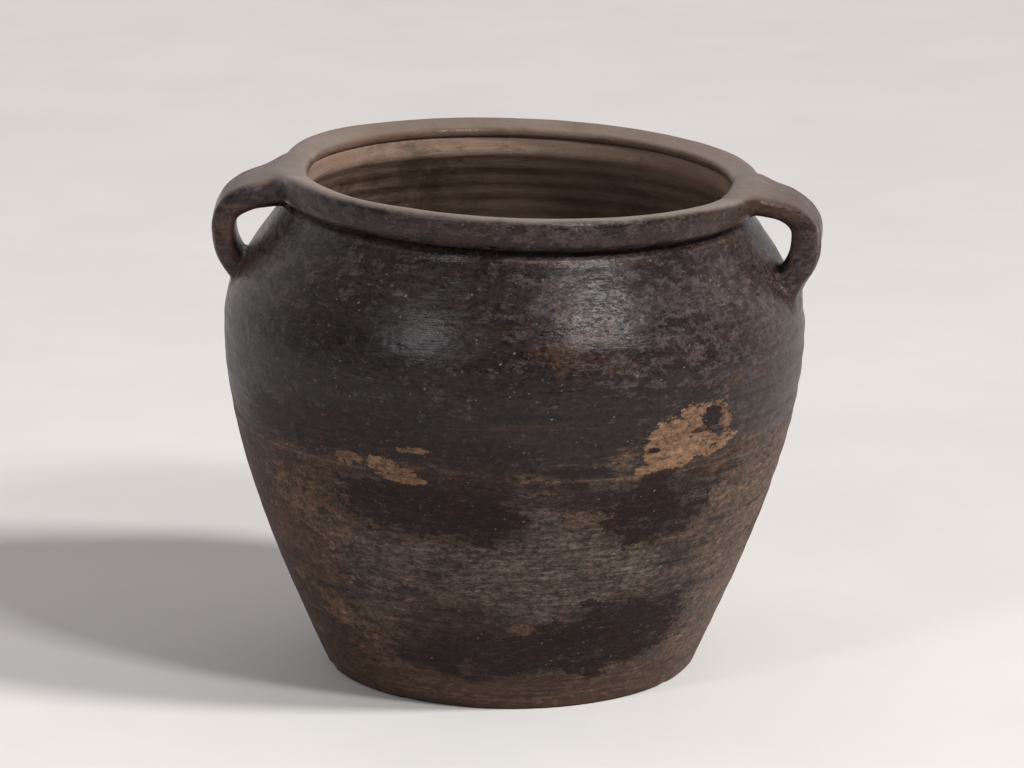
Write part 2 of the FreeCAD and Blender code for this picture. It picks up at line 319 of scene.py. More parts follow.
def build_wall():
    """The thrown wall as one closed shell, with a material slot for the outside and one for the inside."""
    profile, outside_count = wall_profile()
    radius, angle, level = grid_of(profile, WALL_SEGMENTS)
    places = ring_to_space(radius, angle, level)
    is_outside = np.arange(len(profile)).repeat(WALL_SEGMENTS) < outside_count
    shift = np.where(
        is_outside, outside_relief(places, angle, level), inside_relief(places, angle, level)
    )
    heel = bump_at(level, HEEL_LEVEL, HEEL_HALF_WIDTH) * is_outside
    chips = smooth_step(0.25, 0.7, bumps(places, height=1.0, size=0.013, seed=12))
    radius = radius + shift - HEEL_CHIP_DEPTH * heel * chips
    lifted = smooth_step(0.0, 0.8, bumps(places, height=1.0, size=0.03, seed=13))
    level = level + FOOT_LIFT * lifted * (1.0 - smooth_step(0.0, 0.004, level))
    wall = make_object(
        "wall", ring_to_space(radius, angle, level), ring_faces(len(profile), WALL_SEGMENTS, closed=True)
    )
    wall.data.materials.append(None)
    wall.data.materials.append(None)
    wall.data.polygons.foreach_set("material_index", (~is_outside).astype(np.int32))
    return wall


RIM_RINGS = 76
RIM_MIDDLE = (0.1175, 0.2525)


def build_rim():
    """The rolled rim, which dips where the handles leave it."""
    profile = closed_curve(RIM_SECTION, RIM_RINGS)
    radius, angle, level = grid_of(profile, WALL_SEGMENTS)
    places = ring_to_space(radius, angle, level)
    away = columns(radius, level) - RIM_MIDDLE
    away /= np.linalg.norm(away, axis=1)[:, None]
    shift = rim_relief(places)
    level = level - rim_sag(angle, radius, level) + away[:, 1] * shift
    radius = radius + away[:, 0] * shift
    return make_object(
        "rim_roll", ring_to_space(radius, angle, level), ring_faces(RIM_RINGS, WALL_SEGMENTS, closed=True)
    )


FLOOR_SEGMENTS = 192
FLOOR_RINGS = 60
FLOOR_SPAN = (0.001, 0.0885)
FLOOR_EDGE = (0.0892, 0.0060)
UNDERSIDE_LEVEL = 0.0012
UNDERSIDE_HOLLOW = 0.0012
SPIRAL_PITCH = 0.011
SPIRAL_HEIGHT = 0.0004
CROWN_HEIGHT = 0.0014
CROWN_HALF_WIDTH = 0.02


def build_floor():
    """The thrown floor, with a spiral finger mark on top and a hollow underside."""
    across = np.linspace(*FLOOR_SPAN, FLOOR_RINGS)
    top = columns(across, np.full(FLOOR_RINGS, FLOOR_LEVEL))
    inwards = across[::-1]
    hollow = UNDERSIDE_HOLLOW * (1.0 - (inwards / FLOOR_SPAN[1]) ** 2)
    bottom = columns(inwards, UNDERSIDE_LEVEL + hollow)
    profile = np.vstack([top, [FLOOR_EDGE], bottom])
    radius, angle, level = grid_of(profile, FLOOR_SEGMENTS)
    is_top = np.arange(len(profile)).repeat(FLOOR_SEGMENTS) < FLOOR_RINGS
    turns = radius / SPIRAL_PITCH - angle / (2.0 * math.pi)
    spiral = SPIRAL_HEIGHT * np.sin(2.0 * math.pi * turns) * smooth_step(0.003, 0.02, radius)
    crown = CROWN_HEIGHT * bump_at(radius, 0.0, CROWN_HALF_WIDTH)
    rough = bumps(ring_to_space(radius, angle, level), height=0.00025, size=0.014, seed=14)
    level = level + np.where(is_top, spiral + crown, 0.0) + rough
    vertices = ring_to_space(radius, angle, level)
    last = (len(profile) - 1) * FLOOR_SEGMENTS
    vertices = np.vstack([vertices, vertices[:FLOOR_SEGMENTS].mean(0), vertices[last:].mean(0)])
    top_middle, bottom_middle = len(vertices) - 2, len(vertices) - 1
    fans = []
    for column in range(FLOOR_SEGMENTS):
        beside = (column + 1) % FLOOR_SEGMENTS
        fans.append((beside, column, top_middle))
        fans.append((last + column, last + beside, bottom_middle))
    return make_object("floor_disc", vertices, ring_faces(len(profile), FLOOR_SEGMENTS, closed=False), fans)


# ---------------------------------------------------------------- handles

HANDLES = {
    "left": {
        "root_level": 0.2523,
        "reach": 0.1511,
        "end_radius": 0.1240,
        "root_half_thick": 0.0071,
        "bend_half_thick": 0.0059,
        "pad_radius": 0.1420,
        "furrows": 0.0003,
    },
    "right": {
        "root_level": 0.2500,
        "reach": 0.1500,
        "end_radius": 0.1275,
        "root_half_thick": 0.0052,
        "bend_half_thick": 0.0071,
        "pad_radius": 0.1412,
        "furrows": 0.0011,
    },
}
ROOT_RADIUS = 0.118
BEND_LEVEL = 0.231
END_LEVEL = 0.2020
STRAP_POINTS = 130
STRAP_SQUARENESS = 2.3
STRAP_HALF_WIDTH = 0.0172
ROOT_WIDENING = 0.0085
END_WIDENING = 0.0030
STRAP_THINNING = 0.08
STRAP_CORNER = 0.0046
PAD_LEVEL = 0.1990
PAD_HALVES = (0.0062, 0.0215, 0.0130)
PAD_SLANT = math.radians(-12.0)
FURROW_WIDTH = 0.0021
FURROW_LEVEL = 0.217
FURROW_REACH = 0.015

# How far the clay is smeared where two parts meet, and how far the handle's skin lies under the wall's.
PAD_FILLET = 0.005
END_FILLET = 0.0030
ROOT_FILLET = 0.0080
SMEAR_REACH = 0.013
SINK = 0.0003
ROOT_DEPTH = 0.0035

# The handle's mesh is drawn on a grid of voxels, over radius, breadth and level.
VOXEL = 0.0010
HANDLE_BOX = ((0.098, -0.046, 0.182), (0.166, 0.046, 0.270))
VOXEL_BAND = 3.0
RELAX_ROUNDS = 3
PULL_ROUNDS = 3

# Tables over radius and level: the low corner, the high corner and the step.
STRAP_TABLE = ((0.095, 0.180), (0.172, 0.272), 0.0008)
SECTION_START = 0.170
SECTION_POINTS = 60
RIM_SECTION_POINTS = 90
SECTION_TABLE = ((0.095, 0.176), (0.176, 0.272), 0.0003)


def smooth_union(first, second, reach):
    """The union of two distance fields, rounded where they come within reach of each other."""
    overlap = np.maximum(reach - np.abs(first - second), 0.0) / reach
    return np.minimum(first, second) - overlap * overlap * reach / 4.0


def polygon_distance(points, corners):
    """The distance of (n, 2) points to a closed polygon, negative inside it."""
    nearest = np.full(len(points), np.inf)
    inside = np.zeros(len(points), bool)
    for start, end in zip(corners, np.roll(corners, -1, axis=0)):
        edge = end - start
        offset = points - start
        share = np.clip(offset @ edge / (edge @ edge), 0.0, 1.0)
        nearest = np.minimum(nearest, np.linalg.norm(offset - share[:, None] * edge, axis=1))
        crosses = (start[1] > points[:, 1]) != (end[1] > points[:, 1])
        if edge[1] != 0.0:
            at = start[0] + (points[:, 1] - start[1]) * edge[0] / edge[1]
            inside ^= crosses & (points[:, 0] < at)
    return np.where(inside, -nearest, nearest)


class Table:
    """A function of two lengths, kept on a fine grid and read by linear interpolation."""

    def __init__(self, function, low, high, step):
        self.low = np.array(low)
        self.step = step
        counts = np.ceil((np.array(high) - self.low) / step).astype(int) + 1
        first, second = np.meshgrid(*(np.arange(count) * step for count in counts), indexing="ij")
        grid = columns(first.ravel(), second.ravel()) + self.low
        self.values = function(grid).reshape(counts[0], counts[1])

    def __call__(self, first, second):
        at = (columns(first, second) - self.low) / self.step
        at = np.clip(at, 0.0, np.array(self.values.shape) - 1.001)
        cell = at.astype(int)
        part = at - cell
        i, j = cell[:, 0], cell[:, 1]
        near = self.values[i, j] * (1 - part[:, 1]) + self.values[i, j + 1] * part[:, 1]
        far = self.values[i + 1, j] * (1 - part[:, 1]) + self.values[i + 1, j + 1] * part[:, 1]
        return near * (1 - part[:, 0]) + far * part[:, 0]


def strap_line(shape):
    """The strap's centre line: out of the rim, over, and down to the shoulder."""
    root_level, reach, end_radius = shape["root_level"], shape["reach"], shape["end_radius"]
    turn = np.linspace(0.0, math.pi / 2, STRAP_POINTS // 2)
    across, upwards = np.abs(np.sin(turn)), np.abs(np.cos(turn))
    power = 2.0 / STRAP_SQUARENESS
    out = columns(
        ROOT_RADIUS + (reach - ROOT_RADIUS) * across**power,
        BEND_LEVEL + (root_level - BEND_LEVEL) * upwards**power,
    )
    down = columns(
        end_radius + (reach - end_radius) * np.cos(turn),
        BEND_LEVEL + (END_LEVEL - BEND_LEVEL) * np.sin(turn),
    )
    return np.vstack([out, down[1:]])


def handle_frame(side):
    """The pivot, and the unit vectors outwards and sideways, of a handle."""
    angle = HANDLE_ANGLES[side]
    outwards = np.array([math.sin(angle), -math.cos(angle), 0.0])
    sideways = np.array([math.cos(angle), math.sin(angle), 0.0])
    return np.array([LEAN * BEND_LEVEL**2, 0.0, 0.0]), outwards, sideways


def body_section():
    """The outlines of the solid wall and of the rim, as two polygons of radius and level."""
    up = np.linspace(SECTION_START, NECK_LEVEL, SECTION_POINTS)
    down = up[::-1]
    wall = np.vstack([columns(outer_radius(up), up), columns(outer_radius(down, WALL_THICKNESS), down)])
    return wall, closed_curve(RIM_SECTION, RIM_SECTION_POINTS)


def section_distance(points):
    """The distance to the wall and rim in the plane of radius and level."""
    wall, rim = body_section()
    return np.minimum(polygon_distance(points, wall), polygon_distance(points, rim))


def strap_distance(shape, off_line, share, side_way):
    """The distance to the strap, a flat band with round corners that widens at both ends."""
    flare = 1.0 - smooth_step(0.0, 0.42, share)
    foot = smooth_step(0.66, 1.0, share)
    half_width = STRAP_HALF_WIDTH + ROOT_WIDENING * flare + END_WIDENING * foot
    bent = smooth_step(0.18, 0.55, share)
    half_thick = shape["root_half_thick"] * (1.0 - bent) + shape["bend_half_thick"] * bent
    half_thick = half_thick * (1.0 - STRAP_THINNING * foot)
    half_thick = half_thick * (1.0 - STRAP_THINNING * (side_way / half_width) ** 2)
    gap_side = np.abs(side_way) - (half_width - STRAP_CORNER)
    gap_thick = off_line - (half_thick - STRAP_CORNER)
    beyond = np.hypot(np.maximum(gap_side, 0.0), np.maximum(gap_thick, 0.0))
    return beyond + np.minimum(np.maximum(gap_side, gap_thick), 0.0) - STRAP_CORNER


def pad_distance(out, side_way, rise):
    """The distance to the slanting ellipsoid of clay over the strap's end, from places about its middle."""
    turned = columns(
        out * math.cos(PAD_SLANT) - rise * math.sin(PAD_SLANT),
        side_way,
        out * math.sin(PAD_SLANT) + rise * math.cos(PAD_SLANT),
    )
    halves = np.array(PAD_HALVES)
    inner = np.linalg.norm(turned / halves, axis=1)
    return inner * (inner - 1.0) / np.maximum(np.linalg.norm(turned / halves**2, axis=1), 1e-6)


def worked_clay(points, side_way, level, outer_side, furrow_depth):
    """The lumps of a handle, and the furrows that fingers left on the front of its bend."""
    lumps = bumps(points, height=0.00030, size=0.016, seed=15)
    lumps += bumps(points, height=0.00014, size=0.005, seed=16)
    furrows = np.sin(side_way / FURROW_WIDTH + bumps(points, height=2.2, size=0.012, seed=17))
    front = smooth_step(-0.002, 0.004, -side_way * outer_side)
    return lumps + furrow_depth * furrows * bump_at(level, FURROW_LEVEL, FURROW_REACH) * front


def handle_field(side, section):
    """The distance field of one handle, flared into the rim and the shoulder."""
    shape = HANDLES[side]
    pivot, outwards, sideways = handle_frame(side)
    line = strap_line(shape)

    def off_line(points):
        return np.linalg.norm(points[:, None, :] - line[None, :, :], axis=2)

    distance_table = Table(lambda points: off_line(points).min(1), *STRAP_TABLE)
    share_table = Table(lambda points: off_line(points).argmin(1) / (len(line) - 1), *STRAP_TABLE)

    def field(points, detailed=True):
        local = points - pivot
        out, side_way, level = local @ outwards, local @ sideways, points[:, 2]
        strap = strap_distance(shape, distance_table(out, level), share_table(out, level), side_way)
        pad = pad_distance(out - shape["pad_radius"], side_way, level - PAD_LEVEL)
        handle = smooth_union(strap, pad, PAD_FILLET)
        radius, angle, ring_level = space_to_ring(points)
        ring_level = ring_level + rim_sag(angle, radius, ring_level)
        body = section(radius, ring_level) + SINK
        if detailed:
            on_wall = ring_level < NECK_LEVEL + 0.001
            body -= np.where(on_wall, outside_relief(points, angle, ring_level), rim_relief(points))
        near_root = smooth_step(-0.003, 0.006, level - shape["root_level"])
        whole = smooth_union(handle, body, END_FILLET + ROOT_FILLET * near_root)
        if detailed:
            worked = worked_clay(points, side_way, level, np.sign(outwards[0]), shape["furrows"])
            whole += worked * smooth_step(0.0, 0.0012, body)
        return np.maximum(np.maximum(whole, handle - SMEAR_REACH), -body - ROOT_DEPTH)

    return field


def build_handle(side, section):
    """One strap handle with its pad, as a mesh drawn round its distance field."""
    field = handle_field(side, section)
    pivot, outwards, sideways = handle_frame(side)
    low, high = np.array(HANDLE_BOX)
    counts = np.ceil((high - low) / VOXEL).astype(int)
    cells = np.stack(np.meshgrid(*(np.arange(count) for count in counts), indexing="ij"), axis=-1)

    def to_space(places):
        flat = places[:, :1] * outwards + places[:, 1:2] * sideways + pivot
        return flat + np.array([0.0, 0.0, 1.0]) * places[:, 2:3]

    values = field(to_space(cells.reshape(-1, 3) * VOXEL + low), detailed=False).reshape(counts) / VOXEL
    grid = openvdb.FloatGrid(VOXEL_BAND)
    grid.copyFromArray(np.clip(values, -VOXEL_BAND, VOXEL_BAND).astype(np.float32))
    found, quads = grid.convertToQuads(isovalue=0.0)
    vertices = relax(to_space(found.astype(float) * VOXEL + low), quads)
    for _ in range(PULL_ROUNDS):
        vertices = pull_to_surface(vertices, field)
    return make_object(f"{side}_strap", vertices, quads)


def relax(vertices, quads):
    """Moves every vertex half way to the middle of its neighbours, a few times over."""
    edges = np.vstack([quads[:, [side, (side + 1) % 4]] for side in range(4)]).astype(int)
    count = np.bincount(edges.ravel(), minlength=len(vertices))[:, None]
    for _ in range(RELAX_ROUNDS):
        total = np.zeros_like(vertices)
        np.add.at(total, edges[:, 0], vertices[edges[:, 1]])
        np.add.at(total, edges[:, 1], vertices[edges[:, 0]])
        vertices = 0.5 * vertices + 0.5 * total / np.maximum(count, 1)
    return vertices


def pull_to_surface(vertices, field):
    """Moves vertices along the field's gradient to where it is zero."""
    probe = 0.2 * VOXEL
    value = field(vertices)
    rises = (field(vertices + probe * axis) - field(vertices - probe * axis) for axis in np.eye(3))
    slope = columns(*rises) / (2.0 * probe)
    steepness = np.maximum((slope * slope).sum(1), 0.25)
    move = np.clip(value / steepness, -VOXEL, VOXEL)
    return vertices - move[:, None] * slope


# ---------------------------------------------------------------- material helpers


class Net:
    """Short calls for building a node tree."""

    def __init__(self, tree):
        self.tree = tree
        self.tree.nodes.clear()

    def node(self, kind, **settings):
        made = self.tree.nodes.new(kind)
        for setting, value in settings.items():
            setattr(made, setting, value)
        return made

    def feed(self, socket, value):
        """Links a socket to another node's output, or sets it to a plain value."""
        if isinstance(value, bpy.types.NodeSocket):
            self.tree.links.new(value, socket)
        else:
            socket.default_value = value

    def math(self, operation, *values):
        made = self.node("ShaderNodeMath", operation=operation)
        for socket, value in zip(made.inputs, values):
            self.feed(socket, value)
        return made.outputs[0]

    def times(self, first, second):
        return self.math("MULTIPLY", first, second)

    def plus(self, first, second):
        return self.math("ADD", first, second)

    def weighted(self, start, *pairs):
        """A start value with more values added, each times its weight."""
        total = start
        for value, weight in pairs:
            total = self.plus(total, self.times(value, weight))
        return total

    def vectors(self, operation, *values):
        """A vector operation's node; its output 0 is the vector and Value the number."""
        made = self.node("ShaderNodeVectorMath", operation=operation)
        for socket, value in zip(made.inputs, values):
            self.feed(socket, value)
        return made

    def scaled(self, vector, scale):
        return self.vectors("MULTIPLY", vector, scale).outputs[0]

    def vector(self, value):
        """A vector, or a grey, with the same value three times."""
        made = self.node("ShaderNodeCombineXYZ")
        for socket in made.inputs:
            self.feed(socket, value)
        return made.outputs[0]

    def noise(self, vector, scale, detail, rough, warp=0.0):
        """Noise between -0.5 and 0.5."""
        made = self.node("ShaderNodeTexNoise")
        self.feed(made.inputs["Vector"], vector)
        for name, value in (("Scale", scale), ("Detail", detail), ("Roughness", rough), ("Distortion", warp)):
            made.inputs[name].default_value = value
        return self.math("SUBTRACT", made.outputs[0], 0.5)

    def cells(self, vector, scale):
        """Voronoi distance and the random value of its cell."""
        made = self.node("ShaderNodeTexVoronoi")
        self.feed(made.inputs["Vector"], vector)
        made.inputs["Scale"].default_value = scale
        pick = self.node("ShaderNodeSeparateColor")
        self.feed(pick.inputs[0], made.outputs["Color"])
        return made.outputs["Distance"], pick.outputs[0]

    def step(self, value, low, high):
        """0 where a value is at low, 1 at high and smooth between them."""
        made = self.node("ShaderNodeMapRange", interpolation_type="SMOOTHSTEP")
        self.feed(made.inputs["Value"], value)
        made.inputs["From Min"].default_value = low
        made.inputs["From Max"].default_value = high
        return made.outputs[0]

    def blend(self, share, first, second, mode="MIX"):
        made = self.node("ShaderNodeMix", data_type="RGBA", blend_type=mode)
        colours = [socket for socket in made.inputs if socket.type == "RGBA"]
        self.feed(made.inputs[0], share)
        self.feed(colours[0], first)
        self.feed(colours[1], second)
        return next(socket for socket in made.outputs if socket.type == "RGBA")

    def tint(self, shade, tone, where, strength=1.0):
        """A shade taken towards a tone where a value says, as far as the strength allows."""
        share = where if strength == 1.0 else self.times(where, strength)
        return self.blend(share, shade, tone)

    def mottled(self, shade, factor):
        """A shade times a number."""
        return self.blend(1.0, shade, self.vector(factor), "MULTIPLY")

    def finish(self, shade, roughness, height, bump_distance, specular):
        """The shader and output of a material."""
        shader = self.node("ShaderNodeBsdfPrincipled")
        bump = self.node("ShaderNodeBump")
        bump.inputs["Strength"].default_value = 1.0
        bump.inputs["Distance"].default_value = bump_distance
        self.feed(bump.inputs["Height"], height)
        self.feed(shader.inputs["Base Color"], shade)
        self.feed(shader.inputs["Roughness"], roughness)
        self.feed(shader.inputs["Normal"], bump.outputs[0])
        shader.inputs["Specular IOR Level"].default_value = specular
        output = self.node("ShaderNodeOutputMaterial")
        self.tree.links.new(shader.outputs[0], output.inputs[0])


def new_material(name):
    """A material and the net of its nodes."""
    material = bpy.data.materials.new(name)
    material.use_nodes = True
    return material, Net(material.node_tree)


def colour(red, green, blue):
    """An opaque colour, in linear light."""
    return (red, green, blue, 1.0)


BROWN_CLAY = colour(0.044, 0.019, 0.010)
TAN_CLAY = colour(0.105, 0.062, 0.042)
GREY_CLAY = colour(0.044, 0.029, 0.023)
PALE_GREY_CLAY = colour(0.074, 0.056, 0.047)
BLACK_SLIP = colour(0.0085, 0.0052, 0.0055)
WORN_SLIP = colour(0.030, 0.0215, 0.0225)
THIN_SLIP = colour(0.056, 0.042, 0.042)
# Soot for the dark patches, and painted shade in the crease below the rim.
PURPLE_SOOT_AND_SHADE = colour(0.0085, 0.0022, 0.0018)
OCHRE_CLAY = colour(0.125, 0.066, 0.037)
PALE_OCHRE = colour(0.165, 0.098, 0.060)
RUST_STAIN = colour(0.065, 0.030, 0.018)
DUST = colour(0.200, 0.175, 0.150)
RIM_DUST = colour(0.215, 0.180, 0.154)
INSIDE_BROWN = colour(0.290, 0.205, 0.158)
INSIDE_DARK = colour(0.175, 0.118, 0.089)
FLOOR_GREY = colour(0.60, 0.585, 0.57)
FLOOR_WHITE = colour(0.64, 0.625, 0.61)
WALL_WHITE = colour(0.90, 0.845, 0.85)
SLIP_GLOSS = 0.27
INSIDE_GLOSS = 0.15

# Worn patches on the outside: angle from the front in degrees, level in mm, half size in degrees and in mm,
# slant, raggedness and strength. The slant is the patch's rise in mm for each degree.
DARK_PATCHES = [
    (-27, 117, 15, 12, -0.1, 0.9, 1),
    (-9, 112, 13, 12, 0, 1, 1),
    (-12, 128, 24, 8, 0, 1.2, 0.8),
    (31, 113, 10.5, 15, 0.1, 0.9, 1),
    (25, 125, 16, 6, 0.2, 1.1, 0.8),
    (27, 42, 19, 20, 0.2, 0.6, 1),
    (3, 34, 24, 14, 0.1, 0.9, 0.95),
    (-20, 31, 11, 10, -0.2, 1.2, 0.9),
    (-12, 52, 12, 8, 0, 1.4, 0.6),
    (-38, 151, 21, 13, 0, 0.9, 0.8),
    (-12, 146, 15, 7, 0, 1.1, 0.75),
    (10, 139, 9, 2.4, 0, 1, 0.8),
    (40, 132, 4, 4, 0, 1.2, 0.8),
    (100, 70, 20, 22, -0.3, 1, 0.9),
    (140, 120, 26, 15, 0.1, 1.1, 0.9),
    (170, 48, 22, 20, 0.2, 0.9, 0.9),
    (-120, 60, 24, 18, 0.1, 1, 0.9),
    (-150, 128, 22, 14, -0.1, 1.1, 0.9),
    (-95, 118, 12, 12, 0, 1.2, 0.7),
]
OCHRE_PATCHES = [
    (33.8, 153.5, 7.2, 10, 0.1, 0.32, 1),
    (31.5, 147, 6.4, 10, 0, 0.32, 1),
    (38, 146, 10, 5.8, 0.05, 0.38, 1),
    (31, 138, 6, 4.6, 0.15, 0.5, 1),
    (45, 162, 2.2, 11, 0, 0.8, 0.7),
    (40, 166, 5.5, 3.6, 0.2, 0.7, 0.85),
    (-34.6, 138.3, 3.6, 3.6, 0.1, 0.6, 0.8),
    (-25.2, 137, 5, 3.6, -0.25, 0.6, 0.9),
    (-22.5, 131.6, 5, 2, -0.15, 0.6, 0.85),
    (-19.5, 147.4, 2.8, 1.5, 0, 0.7, 0.65),
    (2.5, 48.5, 2.8, 3.2, 0, 0.9, 0.5),
    (-58, 113, 4.5, 8, 0.3, 2.4, 0.34),
    (-45, 110, 6, 14, 0.3, 2.6, 0.28),
    (-50, 46, 9, 9, -0.5, 2.6, 0.22),
    (-64, 98, 4, 2, 0, 1.8, 0.35),
    (155, 148, 9, 7, 0.2, 0.8, 0.9),
    (-140, 92, 6, 4, -0.2, 1, 0.7),
    (118, 32, 5, 6, 0, 1.2, 0.5),
]
ISLANDS = [
    (42, 161, 2.4, 6.5, 0, 1.1, 1),
    (27.3, 147, 2.4, 1.5, 0.2, 1.1, 1),
    (38.5, 155, 2.2, 1.3, 0.3, 1.3, 0.9),
    (31, 133.5, 5, 2.2, 0.2, 1, 0.9),
]
RUST_PATCHES = [
    (-2, 13, 6.5, 5, 0, 1, 0.75),
    (12, 203, 8, 12, 0, 1.6, 0.3),
    (-80, 216, 4, 24, 0, 1.2, 0.6),
    (-62, 80, 14, 22, -0.4, 1.5, 0.42),
    (-48, 36, 16, 18, -0.4, 1.4, 0.32),
    (45, 178, 6, 4, 0, 1.6, 0.4),
    (160, 28, 14, 12, 0, 1.4, 0.35),
]
GREY_PATCHES = [
    (10, 84, 24, 17, 0, 0.7, 1),
    (-20, 80, 20, 16, 0, 1, 0.7),
    (6.5, 110, 3.4, 10, 0, 0.9, 1),
    (12, 68, 14, 8, 0.4, 0.9, 1),
    (4, 55, 8, 6, 0, 1.3, 0.8),
    (150, 85, 30, 14, 0, 1, 0.8),
    (-130, 100, 20, 10, 0, 1, 0.7),
]


MM_PER_METRE = 1000.0
PATCH_EDGE = 1.6


class Place:
    """Where a point of the pot's outside is, and the noises that its patches share."""

    def __init__(self, net):
        self.net = net
        coordinates = net.node("ShaderNodeTexCoord")
        self.position = coordinates.outputs["Object"]
        parts = net.node("ShaderNodeSeparateXYZ")
        net.feed(parts.inputs[0], self.position)
        x, y, z = parts.outputs
        tilt_rise = net.times(net.times(x, z), 2.0 * LEAN)
        level = net.plus(z, tilt_rise)
        centre = net.times(net.times(level, level), LEAN)
        turn = net.math("ARCTAN2", net.math("SUBTRACT", x, centre), net.times(y, -1.0))
        self.angle = net.times(turn, math.degrees(1.0))
        self.level = net.times(level, MM_PER_METRE)
        flat = net.scaled(self.position, (1.0, 1.0, 2.0))
        self.ragged = net.noise(flat, 42.0, 10.0, 0.68)
        self.flakes = net.noise(flat, 230.0, 6.0, 0.75)
        self.crust = net.noise(flat, 105.0, 9.0, 0.72)
        self.dents = net.noise(flat, 75.0, 4.0, 0.50)
        self.broad = net.noise(self.position, 9.0, 4.0, 0.55)
        self.streaks = net.noise(net.scaled(self.position, (1.0, 1.0, 17.0)), 11.0, 8.0, 0.66)
        self.fine_streaks = net.noise(net.scaled(self.position, (1.0, 1.0, 26.0)), 42.0, 6.0, 0.62)
        self.grain = net.noise(self.position, 620.0, 3.0, 0.6)
        self.edge = net.weighted(0.0, (self.ragged, 4.5), (self.crust, 4.5), (self.flakes, 3.5))

    def patch(self, angle, level, half_angle, half_level, slant, ragged, strength):
        """How much of a ragged patch covers each point."""
        net = self.net
        across = net.math("MULTIPLY_ADD", self.angle, 1.0 / half_angle, -angle / half_angle)
        rise = net.math("MULTIPLY_ADD", self.level, 1.0 / half_level, -level / half_level)
        if slant:
            rise = net.math("MULTIPLY_ADD", across, -slant * half_angle / half_level, rise)
        reach = net.math("MULTIPLY_ADD", rise, rise, net.times(across, across))
        edge = net.math("SUBTRACT", net.times(self.edge, PATCH_EDGE * ragged), reach)
        return net.times(net.step(edge, -1.10, -0.90), strength)

    def patches(self, rows):
        """How much the strongest of several patches covers each point."""
        total = self.patch(*rows[0])
        for row in rows[1:]:
            total = self.net.math("MAXIMUM", total, self.patch(*row))
        return total

    def band(self, level, half_width):
        """A soft level band, 1 at its middle."""
        away = self.net.math("ABSOLUTE", self.net.math("SUBTRACT", self.level, level))
        return self.net.step(away, half_width, 0.0)


def specks(net, position, scale, share, size):
    """Small round spots: share of the cells that have one, and its size in cells."""
    distance, pick = net.cells(position, scale)
    return net.times(net.step(distance, size, size * 0.45), net.step(pick, 1.0 - share, 1.02 - share))


BRUSH_SLANT = math.radians(-24.0)
SLIP_EDGE_LEVEL = 137.0
SLIP_EDGE_REACH = 26.0

# Lines along the ridges: level and half width in mm, and tone.
LEVEL_LINES = ((168.0, 1.6, BLACK_SLIP), (153.0, 1.5, BLACK_SLIP), (134.0, 1.1, TAN_CLAY))
GROUP_SOCKETS = (
    ("Dusty", "INPUT", "NodeSocketFloat"),
    ("Brown", "INPUT", "NodeSocketFloat"),
    ("Shade", "OUTPUT", "NodeSocketColor"),
    ("Rough", "OUTPUT", "NodeSocketFloat"),
    ("Height", "OUTPUT", "NodeSocketFloat"),
)
OUTSIDE_BUMP = 0.0011
INSIDE_BUMP = 0.0010
FLOOR_BUMP = 0.0005


def bare_clay(net, place, side_tan):
    """The clay under the slip: grey-brown, browner low on the left, tan on the right, brushed at a slant."""
    clay = net.tint(BROWN_CLAY, GREY_CLAY, net.step(place.broad, -0.14, 0.14))
    clay = net.tint(clay, PALE_GREY_CLAY, net.step(place.streaks, -0.02, 0.30))
    clay = net.tint(clay, TAN_CLAY, side_tan, 0.55)
    side_brown = net.step(net.math("MULTIPLY_ADD", place.broad, 30.0, place.angle), -26.0, -44.0)
    clay = net.tint(clay, BROWN_CLAY, side_brown, 0.65)
    slanting = net.node("ShaderNodeMapping")
    net.feed(slanting.inputs["Vector"], place.position)
    slanting.inputs["Rotation"].default_value = (0.0, BRUSH_SLANT, 0.0)
    slanting.inputs["Scale"].default_value = (1.0, 1.0, 7.0)
    brushed = net.noise(slanting.outputs[0], 26.0, 9.0, 0.72)
    clay = net.tint(clay, TAN_CLAY, net.step(brushed, 0.03, 0.17))
    clay = net.tint(clay, BLACK_SLIP, net.step(brushed, -0.02, -0.14))
    grey = net.tint(GREY_CLAY, PALE_GREY_CLAY, net.step(place.fine_streaks, -0.15, 0.2))
    clay = net.tint(clay, grey, place.patches(GREY_PATCHES))
    return net.mottled(clay, net.weighted(1.0, (place.flakes, 2.4), (place.ragged, 1.2)))


def black_slip(net, place, side_tan):
    """The slip, thick and black in crusts and thin between them, and how much of it is crust."""
    thin = net.tint(WORN_SLIP, THIN_SLIP, net.step(place.streaks, -0.20, 0.22))
    busy = net.weighted(0.0, (net.step(place.level, 232.0, 150.0), 0.10), (place.broad, 0.45))
    crust = net.step(net.plus(net.weighted(place.crust, (place.streaks, 0.35)), busy), -0.012, 0.022)
    slip = net.tint(thin, BLACK_SLIP, crust, 0.92)
    return net.tint(slip, GREY_CLAY, side_tan, 0.28), crust


def slip_cover(net, place):
    """1 where the slip covers the clay: above the belly, with a ragged lower edge."""
    above = net.math("DIVIDE", net.math("SUBTRACT", place.level, SLIP_EDGE_LEVEL), SLIP_EDGE_REACH)
    return net.step(net.weighted(above, (place.ragged, 3.6), (place.fine_streaks, 2.4)), -0.3, 0.5)


def level_streaks(net, place, shade):
    """Streaks and lines where the slip wore through or stayed along the throwing ridges."""
    zone = net.times(place.band(155.0, 34.0), net.step(place.streaks, 0.05, 0.16))
    worn = net.tint(BROWN_CLAY, PALE_GREY_CLAY, net.step(place.fine_streaks, -0.1, 0.2))
    shade = net.tint(shade, worn, zone, 0.65)
    for level, half_width, tone in LEVEL_LINES:
        line = net.times(place.band(level, half_width), net.step(place.streaks, -0.25, 0.10))
        shade = net.tint(shade, tone, line, 0.7)
    return shade


